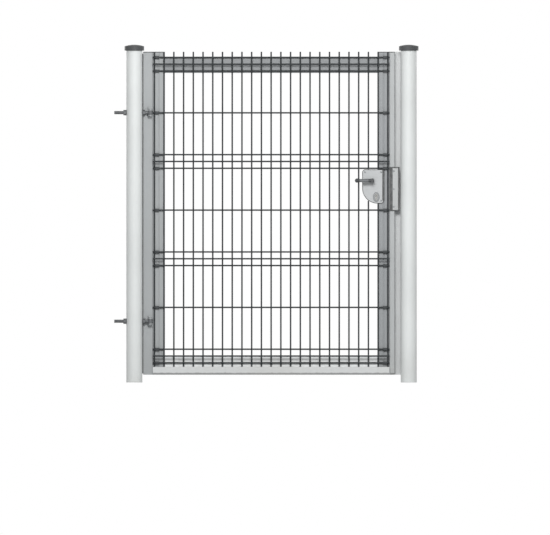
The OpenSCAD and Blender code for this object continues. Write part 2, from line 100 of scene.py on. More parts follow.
upright_y = panel_high.y - WIRE / 2
level_y = upright_y - WIRE + WIRE_SINK
tip_y = panel_low.y + WIRE / 2
first_upright_x = (panel_low.x + panel_high.x - (UPRIGHTS - 1) * WIRE_PITCH) / 2
first_fold_z = stile_low.z + FIRST_FOLD_RISE

# Level wires that lie flat on the uprights: height of the lowest and how many, a fold pitch apart
FLAT_ROWS = (
    (first_fold_z - FOLD_HEIGHT / 2, FOLDS),
    (first_fold_z + FOLD_HEIGHT / 2, FOLDS),
    (first_fold_z + FOLD_PITCH / 2, FOLDS - 1),
)


# ---------------------------------------------------------------- node graphs


class Value:
    """A node's output that Python expressions can work with."""

    def __init__(self, graph, socket):
        self.graph, self.socket = graph, socket

    def maths(self, operation, *values, clamp=False):
        """A Math node on the values."""
        settings = {"operation": operation, "use_clamp": clamp}
        return self.graph.node("ShaderNodeMath", settings, dict(enumerate(values)))

    def __add__(self, other):
        return self.maths("ADD", self, other)

    __radd__ = __add__

    def __sub__(self, other):
        return self.maths("SUBTRACT", self, other)

    def __rsub__(self, other):
        return self.maths("SUBTRACT", other, self)

    def __mul__(self, other):
        return self.maths("MULTIPLY", self, other)

    __rmul__ = __mul__

    def __truediv__(self, other):
        return self.maths("DIVIDE", self, other)

    def __rtruediv__(self, other):
        return self.maths("DIVIDE", other, self)

    def limited(self):
        """The value kept between 0 and 1."""
        return self.maths("ADD", self, 0, clamp=True)


class Graph:
    """A node tree, with one method that adds any node."""

    def __init__(self, tree):
        self.tree = tree

    def node(self, kind, settings=None, values=None, out=0):
        """Adds a node. Settings come first, then the values or links of its sockets."""
        made = self.tree.nodes.new(kind)
        for name, setting in (settings or {}).items():
            if name == "stops":
                set_stops(made.color_ramp, setting)
            else:
                setattr(made, name, setting)
        for name, value in (values or {}).items():
            self.feed(made.inputs[name], value)
        return Value(self, made.outputs[out]) if made.outputs else made

    def feed(self, socket, value):
        """Links a value to a socket, or sets the socket's own number or colour."""
        if isinstance(value, Value):
            self.tree.links.new(value.socket, socket)
        else:
            socket.default_value = value


def set_stops(ramp, stops):
    """Gives a colour ramp its stops, each a position and a colour."""
    for i, (position, colour) in enumerate(stops):
        stop = ramp.elements[i] if i < 2 else ramp.elements.new(position)
        stop.position, stop.color = position, colour


# ---------------------------------------------------------------- finishes


def srgb(red, green, blue):
    """A colour written as screen values from 0 to 255."""
    parts = [c / 255 for c in (red, green, blue)]
    linear = [c / 12.92 if c <= 0.04045 else ((c + 0.055) / 1.055) ** 2.4 for c in parts]
    return (*linear, 1)


def shaded(colour, share):
    """The colour made lighter or darker."""
    return (*[min(1, c * share) for c in colour[:3]], 1)


class Finish(Graph):
    """A material on one surface shader, with the patterns that the gate's finishes share."""

    def __init__(self, name, metallic=0.0, specular=0.5):
        self.material = bpy.data.materials.new(name)
        self.material.use_nodes = True
        super().__init__(self.material.node_tree)
        self.shader = self.tree.nodes["Principled BSDF"]
        self.shader.inputs["Metallic"].default_value = metallic
        self.shader.inputs["Specular IOR Level"].default_value = specular
        self.place = self.node("ShaderNodeTexCoord", out="Object")

    def noise(self, scale, detail=3, stretch=None, roughness=0.5):
        """Noise from 0 to 1. Scale counts patches in a metre."""
        where = self.place
        if stretch:
            where = self.node("ShaderNodeMapping", None, {"Vector": where, "Scale": stretch})
        values = {"Vector": where, "Scale": scale, "Detail": detail, "Roughness": roughness}
        return self.node("ShaderNodeTexNoise", None, values)

    def crystals(self, scale):
        """A different value from 0 to 1 for each grain of a cracked pattern."""
        tone = self.node(
            "ShaderNodeTexVoronoi", None, {"Vector": self.place, "Scale": scale}, out="Color"
        )
        return self.node("ShaderNodeSeparateColor", None, {"Color": tone})

    def band(self, value, low, high):
        """0 below low, 1 above high and soft between them."""
        settings = {"interpolation_type": "SMOOTHSTEP"}
        return self.node(
            "ShaderNodeMapRange", settings, {"Value": value, "From Min": low, "From Max": high}
        )

    def mix(self, share, first, second):
        """The first colour, or the second where the share is 1."""
        settings = {"data_type": "RGBA"}
        return self.node("ShaderNodeMix", settings, {0: share, 6: first, 7: second}, out=2)

    def along(self, axis):
        """How far a point lies along X, Y or Z, in metres, with the gate shut."""
        return self.node("ShaderNodeSeparateXYZ", None, {"Vector": self.place}, out=axis)

    def rounded(self, radius):
        """The surface's direction with its sharp edges softened."""
        return self.node("ShaderNodeBevel", {"samples": 6}, {"Radius": radius})

    def edges(self, rounded):
        """1 along sharp edges, 0 on open faces."""
        flat = self.node("ShaderNodeNewGeometry", out="Normal")
        settings = {"operation": "DOT_PRODUCT"}
        agreement = self.node("ShaderNodeVectorMath", settings, {0: rounded, 1: flat}, out="Value")
        return self.band(1 - agreement, 0.02, 0.2)

    def corners(self, reach):
        """Painted shade: 1 deep in inner corners and behind what lies close, 0 in the open."""
        open_sky = self.node(
            "ShaderNodeAmbientOcclusion", {"samples": 6}, {"Distance": reach}, out="AO"
        )
        return self.band(1 - open_sky, 0.15, 0.8)

    def relief(self, height, depth, normal=None):
        """Bumps of a given depth in metres."""
        values = {"Height": height, "Distance": depth, "Strength": 1.0}
        if normal:
            values["Normal"] = normal
        return self.node("ShaderNodeBump", None, values)

    def finished(self, colour, roughness, normal):
        """Feeds the surface shader and gives the material."""
        for name, value in (("Base Color", colour), ("Roughness", roughness), ("Normal", normal)):
            self.feed(self.shader.inputs[name], value)
        return self.material


DUST = srgb(168, 165, 157)
BARE_ZINC = srgb(172, 175, 178)


def powder_coat(name, colour, recess=None, foot=None, edge_darkening_and_wear=0.4, streaks=0.25):
    """Stove-dried coat on steel: orange peel, rain marks, splashes near the ground, sharp edges
    painted darker, worn chips on them and painted shade in corners.

    A recess is a depth from the front and the tone painted on the face behind it: painted
    shade where it is darker, painted light where it is lighter. A foot is the height of a lower
    edge along which a dark line is painted.
    """
    f = Finish(name, specular=0.35)
    patches = f.noise(2.2, detail=5)
    rain = f.noise(1.0, detail=4, stretch=(38, 38, 1.6))
    grain = f.noise(420, detail=5, roughness=0.7)
    soft = f.rounded(radius=2.4 * MM)
    edges = f.edges(soft)

    tone = f.mix(f.band(patches, 0.3, 0.7), shaded(colour, 0.95), shaded(colour, 1.03))
    if recess:
        # Painted tone on the recessed face behind the lips: darker for painted shade, lighter for
        # painted light.
        depth, behind = recess
        tone = f.mix(f.band(f.along("Y"), depth, depth + 1 * MM), tone, behind)
    marks = f.band(rain, 0.52, 0.78) * streaks
    tone = f.mix(marks, tone, shaded(colour, 0.78))
    if foot:
        # A dark line painted along the lower edge, its top wavering with the rain pattern.
        lower_edge_line = 1 - f.band(f.along("Z") - rain * (8 * MM), foot + 3 * MM, foot + 8 * MM)
        tone = f.mix(lower_edge_line * 0.85, tone, shaded(colour, 0.3))
    low = 1 - f.band(f.along("Z"), 0.01, 0.3)
    splash = (low * low * f.band(grain * 0.6 + patches, 0.7, 1.0) * 0.3).limited()
    tone = f.mix(splash, tone, DUST)
    # Painted shade in inner corners and behind close parts.
    tone = f.mix(f.corners(reach=10 * MM) * 0.3, tone, shaded(colour, 0.45))
    # Sharp edges painted darker; the chips below are real wear through the coat.
    tone = f.mix(edges * edge_darkening_and_wear, tone, shaded(colour, 0.45))
    chips = edges * f.band(f.noise(90, detail=6, roughness=0.7), 0.58, 0.66) * edge_darkening_and_wear
    tone = f.mix(chips, tone, BARE_ZINC)

    rough = (0.38 + patches * 0.14 + marks * 0.3 + splash * 0.5).limited()
    peel = f.relief(f.noise(520, detail=2), depth=0.12 * MM, normal=soft)
    return f.finished(tone, rough, peel)


def wire_coat(name, colour):
    """Thin coat on welded wire, with drops and nicks and bare cut ends."""
    f = Finish(name, specular=0.2)
    patches = f.noise(7, detail=5)
    drops = f.noise(1.0, detail=5, stretch=(90, 90, 26))
    nicks = f.band(f.noise(160, detail=5, roughness=0.7), 0.6, 0.7)

    tone = f.mix(f.band(patches, 0.3, 0.7), shaded(colour, 0.85), shaded(colour, 1.12))
    tone = f.mix(f.band(drops, 0.5, 0.75) * 0.4, tone, shaded(colour, 0.7))
    cut = f.band(f.along("Z"), panel_high.z - 1.2 * MM, panel_high.z - 0.4 * MM)
    tone = f.mix((nicks * 0.15 + cut * 0.6).limited(), tone, BARE_ZINC)
    uneven = f.relief(f.noise(800, detail=2) + drops, depth=0.1 * MM)
    return f.finished(tone, 0.5 + patches * 0.2, uneven)


def zinc_plate(name, colour, metallic=0.5):
    """Plated steel: fine crystals, dull patches and handling marks."""
    f = Finish(name, metallic)
    crystals = f.crystals(230)
    patches = f.noise(26, detail=5)
    scratches = f.noise(1.0, detail=3, stretch=(320, 60, 900))
    soft = f.rounded(radius=0.8 * MM)

    shades = ((0.0, 0.86), (0.45, 0.97), (1.0, 1.07))
    stops = [(position, shaded(colour, share)) for position, share in shades]
    tone = f.node("ShaderNodeValToRGB", {"stops": stops}, {"Fac": crystals})
    tone = f.mix(f.band(patches, 0.45, 0.8) * 0.5, tone, shaded(colour, 0.74))
    # Painted shade in inner corners and behind close parts.
    tone = f.mix(f.corners(reach=6 * MM) * 0.5, tone, shaded(colour, 0.4))
    tone = f.mix(f.edges(soft) * 0.5, tone, shaded(colour, 1.25))
    rough = (0.34 + crystals * 0.16 + patches * 0.2).limited()
    return f.finished(tone, rough, f.relief(scratches, depth=0.05 * MM, normal=soft))


def brushed_metal(name, colour, metallic):
    """Brushed plate: fine level lines, smudges, and edges rubbed bright."""
    f = Finish(name, metallic)
    lines = f.noise(1.0, detail=5, stretch=(40, 40, 1400), roughness=0.7)
    smudges = f.noise(14, detail=5)
    soft = f.rounded(radius=1.0 * MM)

    tone = f.mix(f.band(lines, 0.25, 0.75), shaded(colour, 0.88), shaded(colour, 1.06))
    tone = f.mix(f.band(smudges, 0.5, 0.8) * 0.4, tone, shaded(colour, 0.82))
    # Painted shade in inner corners and behind close parts.
    tone = f.mix(f.corners(reach=8 * MM) * 0.5, tone, shaded(colour, 0.45))
    tone = f.mix(f.edges(soft) * 0.6, tone, shaded(colour, 1.2))
    rough = (0.3 + lines * 0.2 + smudges * 0.14).limited()
    return f.finished(tone, rough, f.relief(lines, depth=0.06 * MM, normal=soft))


def moulded_plastic(name, colour, gloss=0.5):
    """Moulded plastic or thick dark coat: fine grain, bleached patches, scuffed edges."""
    f = Finish(name, specular=0.35)
    bleach = f.noise(11, detail=5)
    scuffs = f.band(f.noise(1.0, detail=4, stretch=(70, 400, 120)), 0.6, 0.72)
    soft = f.rounded(radius=1.5 * MM)

    tone = f.mix(f.band(bleach, 0.3, 0.75), shaded(colour, 0.86), shaded(colour, 1.2))
    tone = f.mix(scuffs * 0.15, tone, shaded(colour, 1.9))
    tone = f.mix(f.edges(soft) * 0.35, tone, shaded(colour, 1.7))
    rough = (gloss + bleach * 0.16 - scuffs * 0.08).limited()
    grain = f.relief(f.noise(900, detail=2), depth=0.09 * MM, normal=soft)
    return f.finished(tone, rough, grain)


def rubber(name, colour):
    """Soft black rubber: matt, with a faint bloom."""
    f = Finish(name, specular=0.3)
    bloom = f.noise(45, detail=6)
    tone = f.mix(f.band(bloom, 0.35, 0.8), colour, shaded(colour, 1.9))
    grain = f.relief(f.noise(1300, detail=2), depth=0.08 * MM)
    return f.finished(tone, 0.72 + bloom * 0.15, grain)


def dark_slot(name):
    """Inside of the key slot: greasy dark brass."""
    f = Finish(name, metallic=0.6)
    grease = f.noise(600, detail=4)
    tone = f.mix(grease, srgb(22, 20, 16), srgb(48, 42, 30))
    return f.finished(tone, 0.45 + grease * 0.2, f.relief(grease, depth=0.05 * MM))


# Where the recessed flanges begin, from front to back, and the leaf's lower edge
behind_lips = stile_low.y + 0.85 * LIP_STEP
leaf_foot = stile_low.z

post_paint = powder_coat("post_paint", srgb(224, 227, 226), edge_darkening_and_wear=0.25, streaks=0.2)
# The leaf's frame is one paint in lighter and darker copies that paint light and shade: the top
# rail darker (painted shade), the bottom rail lighter (painted light), the lock stile's lip
# lighter and its flange darker than the hinge stile. The bottom rail's flange is lighter than its
# lip, painted light against the shadow of the wires on it.
hinge_stile_paint = powder_coat("hinge_stile_paint", srgb(166, 169, 170))
lock_stile_paint = powder_coat(
    "lock_stile_paint", srgb(178, 181, 181), (behind_lips, srgb(152, 155, 157)), leaf_foot
)
bottom_rail_paint = powder_coat(
    "bottom_rail_paint", srgb(217, 219, 219), (behind_lips, srgb(240, 242, 242)), leaf_foot
)
top_rail_paint = powder_coat("top_rail_paint", srgb(146, 149, 151))
bracket_paint = powder_coat("bracket_paint", srgb(168, 171, 172))
weld_paint = powder_coat("weld_paint", srgb(160, 163, 165), edge_darkening_and_wear=0.0)
wire_paint = wire_coat("wire_paint", srgb(56, 59, 61))
clip_paint = moulded_plastic("clip_paint", srgb(62, 65, 67))
cap_plastic = moulded_plastic("cap_plastic", srgb(75, 77, 78))
lever_coat = moulded_plastic("lever_coat", srgb(72, 74, 76), gloss=0.4)
grip_plastic = moulded_plastic("grip_plastic", srgb(128, 130, 132), gloss=0.45)
trim_rubber = rubber("trim_rubber", srgb(88, 89, 89))
pad_rubber = rubber("pad_rubber", srgb(46, 47, 48))
bolt_coat = zinc_plate("bolt_coat", srgb(98, 100, 102), metallic=0.3)
pin_zinc = zinc_plate("pin_zinc", srgb(150, 153, 155))
stop_paint = powder_coat("stop_paint", srgb(206, 208, 208), edge_darkening_and_wear=0.2, streaks=0.15)
keep_zinc = zinc_plate("keep_zinc", srgb(176, 179, 181))
plate_aluminium = brushed_metal("plate_aluminium", srgb(168, 170, 171), metallic=0.3)
guard_steel = brushed_metal("guard_steel", srgb(164, 166, 166), metallic=0.3)
rosette_steel = brushed_metal("rosette_steel", srgb(128, 130, 131), metallic=0.3)
case_steel = brushed_metal("case_steel", srgb(120, 124, 127), metallic=0.5)
cylinder_nickel = brushed_metal("cylinder_nickel", srgb(134, 134, 132), metallic=0.6)
key_slot_dark = dark_slot("key_slot_dark")

NODE_FINISHES = {
    post_paint: ("hinge_post", "latch_post"),
    stop_paint: ("stop_profile",),
    hinge_stile_paint: ("hinge_stile",),
    lock_stile_paint: ("lock_stile",),
    bottom_rail_paint: ("bottom_rail",),
    top_rail_paint: ("top_rail",),
    cap_plastic: ("hinge_post_cap", "latch_post_cap", "hinge_stile_plug", "lock_stile_plug"),
    bracket_paint: ("upper_hinge_bracket", "lower_hinge_bracket"),
    bolt_coat: (
        "upper_hinge_bolt", "lower_hinge_bolt", "upper_hinge_nuts", "lower_hinge_nuts"
    ),
    pin_zinc: ("upper_hinge_pin", "lower_hinge_pin", "spindle"),
    keep_zinc: ("keep", "latch_bolt", "lock_faceplate"),
    pad_rubber: ("stop_pads",),
    plate_aluminium: ("front_lock_plate", "back_lock_plate"),
    guard_steel: ("guard_plate",),
    case_steel: ("lock_case",),
    cylinder_nickel: ("lock_cylinder",),
    lever_coat: ("front_lever", "back_lever"),
}

for finish, names in NODE_FINISHES.items():
    for name in names:
        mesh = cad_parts[name].data
        mesh.materials.clear()
        mesh.materials.append(finish)


# ---------------------------------------------------------------- repeats


def new_tree(name, sizes):
    """A geometry tree with named inputs: its graph and its inputs by name."""
    tree = bpy.data.node_groups.new(name, "GeometryNodeTree")
    tree.is_modifier = True
    inputs = {"Geometry": "Geometry", **sizes, "Finish": "Material"}
    for title, kind in inputs.items():
        tree.interface.new_socket(title, in_out="INPUT", socket_type="NodeSocket" + kind)
    tree.interface.new_socket("Geometry", in_out="OUTPUT", socket_type="NodeSocketGeometry")
    graph = Graph(tree)
    entry = graph.node("NodeGroupInput").socket.node
    return graph, {s.name: Value(graph, s) for s in entry.outputs if s.name}


def end_tree(graph, geometry, finish):
    """Makes instances real, gives them their finish and closes the tree."""
    real = graph.node("GeometryNodeRealizeInstances", None, {"Geometry": geometry})
    coated = graph.node("GeometryNodeSetMaterial", None, {"Geometry": real, "Material": finish})
    graph.node("NodeGroupOutput", None, {"Geometry": coated})
    return graph.tree


def swept(graph, path, section):
    """A solid with closed ends, from a section drawn along a path."""
    values = {"Curve": path, "Profile Curve": section, "Fill Caps": True}
    return graph.node("GeometryNodeCurveToMesh", None, values)


def wire_tree():
    """A round wire along a line of edges."""
    graph, given = new_tree("round_wire", {"Thickness": "Float", "Sides": "Int"})
    line = graph.node("GeometryNodeMeshToCurve", None, {"Mesh": given["Geometry"]})
    section = graph.node(
        "GeometryNodeCurvePrimitiveCircle",
        None,
        {"Resolution": given["Sides"], "Radius": given["Thickness"] / 2},
    )
    return end_tree(graph, swept(graph, line, section), given["Finish"])


def row_tree():
    """Copies of a piece in a straight row."""
    graph, given = new_tree("row_of_pieces", {"Start": "Vector", "Step": "Vector", "Count": "Int"})
    places = graph.node(
        "GeometryNodeMeshLine",
        {"mode": "OFFSET"},
        {"Count": given["Count"], "Start Location": given["Start"], "Offset": given["Step"]},
    )
    copies = graph.node(
        "GeometryNodeInstanceOnPoints", None, {"Points": places, "Instance": given["Geometry"]}
    )
    return end_tree(graph, copies, given["Finish"])


def thread_tree():
    """A screw thread that winds up +Z from the origin."""
    sizes = {"Radius": "Float", "Pitch": "Float", "Turns": "Float", "Depth": "Float"}
    graph, given = new_tree("screw_thread", sizes)
    spiral = graph.node(
        "GeometryNodeCurveSpiral",
        None,
        {
            "Resolution": 20,
            "Rotations": given["Turns"],
            "Start Radius": given["Radius"],
            "End Radius": given["Radius"],
            "Height": given["Pitch"] * given["Turns"],
        },
    )
    ridge = graph.node(
        "GeometryNodeCurvePrimitiveCircle", None, {"Resolution": 4, "Radius": given["Depth"]}
    )
    return end_tree(graph, swept(graph, spiral, ridge), given["Finish"])


def bead_tree():
    """A weld bead: overlapping ripples along a line of edges."""
    graph, given = new_tree("weld_bead", {"Ripple": "Float", "Size": "Vector", "Seed": "Int"})
    line = graph.node("GeometryNodeMeshToCurve", None, {"Mesh": given["Geometry"]})
    places = graph.node(
        "GeometryNodeResampleCurve", {"mode": "LENGTH"}, {"Curve": line, "Length": given["Ripple"]}
    )
    ripple = graph.node(
        "GeometryNodeMeshUVSphere", None, {"Segments": 10, "Rings": 6, "Radius": 1.0}
    )
    tangent = graph.node("GeometryNodeInputTangent")
    turn = graph.node("FunctionNodeAlignRotationToVector", {"axis": "Z"}, {"Vector": tangent})
    smallest, largest = 0.85, 1.15
    uneven = graph.node(
        "FunctionNodeRandomValue",
        {"data_type": "FLOAT"},
        {2: smallest, 3: largest, "Seed": given["Seed"]},
        out=1,
    )
    size = graph.node(
        "ShaderNodeVectorMath", {"operation": "SCALE"}, {0: given["Size"], "Scale": uneven}
    )
    bead = graph.node(
        "GeometryNodeInstanceOnPoints",
        None,
        {"Points": places, "Instance": ripple, "Rotation": turn, "Scale": size},
    )
    return end_tree(graph, bead, given["Finish"])


WIRE_TREE, ROW_TREE, THREAD_TREE, BEAD_TREE = wire_tree(), row_tree(), thread_tree(), bead_tree()


def grown(mesh, *steps):
    """The mesh after the given trees, each with its inputs, as a plain mesh."""
    holder = bpy.data.objects.new("holder", mesh)
    bpy.context.scene.collection.objects.link(holder)
    for tree, inputs in steps:
        modifier = holder.modifiers.new(tree.name, "NODES")
        modifier.node_group = tree
        sockets = {s.name: s.identifier for s in tree.interface.items_tree if s.in_out == "INPUT"}
        for name, value in inputs.items():
            modifier[sockets[name]] = value
    result = bpy.data.meshes.new_from_object(
        holder.evaluated_get(bpy.context.evaluated_depsgraph_get())
    )
    holder.modifiers.clear()
    bpy.data.objects.remove(holder)
    return result


def row(finish, start, step=(0, 0, 1), count=1):
    """The row tree with its inputs."""
    return ROW_TREE, {"Start": start, "Step": step, "Count": count, "Finish": finish}


def tube(finish, thickness, sides=12):
    """The wire tree with its inputs."""
    return WIRE_TREE, {"Thickness": thickness, "Sides": sides, "Finish": finish}


# ---------------------------------------------------------------- mesh helpers


def line_mesh(points, closed=False):
    """A line of edges through the points."""
    edges = [(i, i + 1) for i in range(len(points) - 1)]
    if closed:
        edges.append((len(points) - 1, 0))
    mesh = bpy.data.meshes.new("line")
    mesh.from_pydata(points, edges, [])
    return mesh


def stacked(name, loops, closed=False):
    """A solid skin through loops of points, its ends filled or joined to each other."""
    skin = bmesh.new()
    rings = [[skin.verts.new(point) for point in loop] for loop in loops]
    count = len(loops[0])
    pairs = list(zip(rings, rings[1:]))
    if closed:
        pairs.append((rings[-1], rings[0]))
    else:
        skin.faces.new(rings[0])
        skin.faces.new(rings[-1])
    for low, high in pairs:
        for i in range(count):
            j = (i + 1) % count
            skin.faces.new((low[i], low[j], high[j], high[i]))
    bmesh.ops.recalc_face_normals(skin, faces=skin.faces)
    mesh = bpy.data.meshes.new(name)
    skin.to_mesh(mesh)
    skin.free()
    return mesh


def circle(radius, height, sides=24):
    """Points round Z."""
    angles = [2 * math.pi * i / sides for i in range(sides)]
    return [(radius * math.cos(a), radius * math.sin(a), height) for a in angles]


def joined(name, meshes, body, smooth_angle=35):
    """One piece from several meshes, riding on a body."""
    whole = bmesh.new()
    finishes = []
    for mesh in meshes:
        first = len(whole.faces)
        whole.from_mesh(mesh)
        whole.faces.ensure_lookup_table()
        for face in whole.faces[first:]:
            finish = mesh.materials[face.material_index]
            if finish not in finishes:
                finishes.append(finish)
            face.material_index = finishes.index(finish)
    mesh = bpy.data.meshes.new(name)
    whole.to_mesh(mesh)
    whole.free()
    for finish in finishes:
        mesh.materials.append(finish)
    mesh.polygons.foreach_set("use_smooth", [True] * len(mesh.polygons))
    mesh.set_sharp_from_angle(angle=math.radians(smooth_angle))
    piece = bpy.data.objects.new(name, mesh)
    bpy.context.scene.collection.objects.link(piece)
    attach(piece, body)
    return piece


def rounded_line(points, bend, steps=3):
    """The points with each corner replaced by a short arc."""
    line = [points[0]]
    for before, corner, after in zip(points, points[1:], points[2:]):
        into, away = (corner - before).normalized(), (after - corner).normalized()
        reach = bend * math.tan(into.angle(away) / 2)
        first, last = corner - into * reach, corner + away * reach
        for i in range(steps + 1):
            t = i / steps
            line.append((1 - t) ** 2 * first + 2 * t * (1 - t) * corner + t * t * last)
    return line + [points[-1]]


# Turns that point a piece drawn along +Z another way
TO_FRONT = Matrix.Rotation(math.radians(90), 4, "X")
TO_BACK = Matrix.Rotation(math.radians(-90), 4, "X")
TO_LEFT = Matrix.Rotation(math.radians(-90), 4, "Y")
TO_RIGHT = Matrix.Rotation(math.radians(90), 4, "Y")

# The face of each lock plate, front and back, and the turn that points a piece out of it
PLATE_FACES = (
    (flange_y - PLATE_THICKNESS, TO_FRONT),
    (back_plate_low.y + PLATE_THICKNESS, TO_BACK),
)


def turned(mesh, turn):
    """The same mesh, turned about the origin."""
    mesh.transform(turn)
    return mesh


# ---------------------------------------------------------------- mesh panel


def upright_points():
    """Centre line of an upright wire with its V folds, from its foot to its tip."""
    points = [Vector((0, upright_y, panel_low.z))]
    for i in range(FOLDS):
        middle = first_fold_z + i * FOLD_PITCH
        points += [
            Vector((0, upright_y, middle - FOLD_HEIGHT / 2)),
            Vector((0, upright_y - FOLD_DEPTH, middle)),
            Vector((0, upright_y, middle + FOLD_HEIGHT / 2)),
        ]
    points.append(Vector((0, upright_y, panel_high.z)))
    return rounded_line(points, FOLD_BEND)


def lock_gap(x):
    """Lowest and highest point of the mesh's opening round the lock plate, or None beside it."""
    if not plate_low.x - WIRE_TO_PLATE < x < plate_high.x + WIRE_TO_PLATE:
        return None
    centre_x, centre_z = plate_low.x + PLATE_BIG_RADIUS, plate_low.z + PLATE_BIG_RADIUS
    radius = PLATE_BIG_RADIUS + WIRE_TO_PLATE
    low = centre_z - math.sqrt(radius**2 - min(0, x - centre_x) ** 2)
    return low, plate_high.z + WIRE_TO_PLATE


def level_rows(flat, tip):
    """Rows of level wires: the depth, lowest height and number of each."""
    return [(flat, z, count) for z, count in FLAT_ROWS] + [(tip, first_fold_z, FOLDS)]


def wires():
    """The round wires. Uprights at the lock are cut short above and below its plate."""
    wire = tube(wire_paint, WIRE)
    whole = upright_points()
    meshes = []
    columns = [first_upright_x + i * WIRE_PITCH for i in range(UPRIGHTS)]
    cut = [x for x in columns if lock_gap(x)]
    left, right = [x for x in columns if x < cut[0]], [x for x in columns if x > cut[-1]]
    for run in (left, right):
        across = row(wire_paint, (run[0], 0, 0), (WIRE_PITCH, 0, 0), len(run))
        meshes.append(grown(line_mesh(whole), wire, across))
    for x in cut:
        low, high = lock_gap(x)
        lower = [p for p in whole if p.z < low] + [Vector((0, upright_y, low))]
        upper = [Vector((0, upright_y, high))] + [p for p in whole if p.z > high]
        for part in (lower, upper):
            meshes.append(grown(line_mesh(part), wire, row(wire_paint, (x, 0, 0))))
    ends = [Vector((panel_low.x, 0, 0)), Vector((panel_high.x, 0, 0))]
    for y, z, count in level_rows(level_y, tip_y):
        up = row(wire_paint, (0, y, z), (0, 0, FOLD_PITCH), count)
        meshes.append(grown(line_mesh(ends), wire, up))
    panel = joined("mesh_wires", meshes, "leaf", smooth_angle=40)
    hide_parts("mesh_panel")


def weld_spots():
    """The squeezed metal where two wires were welded across each other."""
    rings = ((0.4, -0.9), (1, -0.3), (1, 0.3), (0.4, 0.9))
    spot = stacked("spot", [circle(radius, height, 8) for radius, height in rings])
    spot.transform(Matrix.Diagonal((0.62 * WIRE, 0.4 * WIRE, 0.62 * WIRE, 1)))
    seam_y = upright_y - (WIRE - WIRE_SINK) / 2
    tip_seam_y = (upright_y - FOLD_DEPTH + tip_y) / 2
    across = row(wire_paint, (first_upright_x, 0, 0), (WIRE_PITCH, 0, 0), UPRIGHTS)
    meshes = []
    for y, z, count in level_rows(seam_y, tip_seam_y):
        up = row(wire_paint, (0, y, z), (0, 0, FOLD_PITCH), count)
        meshes.append(grown(spot, across, up))
    joined("wire_welds", meshes, "leaf", smooth_angle=80)


wires()
weld_spots()


# ---------------------------------------------------------------- clips


def saddle_clip(length, depth, height):
    """A clip over a level wire, drawn with its foot at y = 0 and its face towards -Y."""
    slot, wall, corner, bulge = WIRE / 2 + 0.3 * MM, 3 * MM, 2.4 * MM, 1.0 * MM
    half = height / 2
    inner_y = corner - (depth - bulge)
    turn = [math.radians(90 * i / 4) for i in range(5)]
    lower = [(inner_y - corner * math.sin(a), corner * (1 - math.cos(a)) - half) for a in turn]
    face = [(-depth, -half * 0.45), (-depth, half * 0.45)]
    upper = [(y, -z) for y, z in reversed(lower)]
    inside = [(0, slot), (wall - depth, slot), (wall - depth, -slot), (0, -slot)]
    section = [(0, -half), *lower, *face, *upper, (0, half), *inside]
    clip = bmesh.new()
    ends = [[clip.verts.new((x, y, z)) for y, z in section] for x in (-length / 2, length / 2)]
    for i in range(len(section)):
        j = (i + 1) % len(section)
        clip.faces.new((ends[0][i], ends[0][j], ends[1][j], ends[1][i]))
    for end in ends:
        bmesh.ops.triangulate(clip, faces=[clip.faces.new(end)])
    bmesh.ops.recalc_face_normals(clip, faces=clip.faces)
    mesh = bpy.data.meshes.new("clip")
    clip.to_mesh(mesh)
    clip.free()
    return mesh


def clip_row(name, node):
    """All clips on one stile, in place of their CAD node."""
    low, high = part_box(node)
    height = 2 * (first_fold_z - FOLD_HEIGHT / 2 - low.z)
    clip = saddle_clip(high.x - low.x, high.y - low.y, height)
    meshes = []
    for z, count in FLAT_ROWS:
        up = row(clip_paint, ((low.x + high.x) / 2, high.y, z), (0, 0, FOLD_PITCH), count)
        meshes.append(grown(clip, up))
    clips = joined(name, meshes, "leaf", smooth_angle=30)
    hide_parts(node)


clip_row("hinge_side_saddle_clips", "hinge_side_clips")
clip_row("lock_side_saddle_clips", "lock_side_clips")


# ---------------------------------------------------------------- rubber trims and shade strips


def arc(centre_x, centre_z, radius, start, end, steps):
    """Points on a circle in (x, z), its angles in degrees from +X towards +Z."""
    angles = [math.radians(start + (end - start) * i / steps) for i in range(steps + 1)]
    return [(centre_x + radius * math.cos(a), centre_z + radius * math.sin(a)) for a in angles]


def plate_outline(grow):
    """Outline of a lock plate in (x, z), grown all round."""
    small, big = PLATE_SMALL_RADIUS, PLATE_BIG_RADIUS
    low_x, high_x, low_z, high_z = plate_low.x, plate_high.x, plate_low.z, plate_high.z
    return [
        (high_x + grow, high_z + grow),
        *arc(low_x + small, high_z - small, small + grow, 90, 180, 6),
        *arc(low_x + big, low_z + big, big + grow, 180, 270, 20),
        *arc(high_x - small, low_z + small, small + grow, 270, 360, 6),
    ]


def gaskets_and_shade_strips():
    """Rubber cord squeezed out round both lock plates, and a dark rubber strip on their straight
    side that stands in for the shade of the gap there.
    """
    cord, past_plate = 4.4 * MM, 1.2 * MM
    depth = PLATE_THICKNESS - cord / 2
    # Section of the dark strip in millimetres: past the plate's side, and out from the stile
    section = [(-5, 0), (-5, 4.6), (-4, 5.4), (5, 5.4), (6, 4.6), (6, 0)]
    ends = plate_low.z + PLATE_SMALL_RADIUS, plate_high.z + 2 * MM
    meshes = []
    for seat, way in ((flange_y, -1), (back_plate_low.y, 1)):
        edge = [(x, seat + way * depth, z) for x, z in plate_outline(past_plate)]
        meshes.append(grown(line_mesh(edge, closed=True), tube(trim_rubber, cord, sides=10)))
        # The strip's dark rubber stands in for shade in the gap beside the plate.
        loops = []
        for z in ends:
            loops.append([(plate_high.x + x * MM, seat + way * y * MM, z) for x, y in section])
        gap_shade_strip = stacked("gap_shade_strip", loops)
        gap_shade_strip.materials.append(trim_rubber)
        meshes.append(gap_shade_strip)
    joined("lock_gaskets_and_shade_strips", meshes, "leaf", smooth_angle=40)


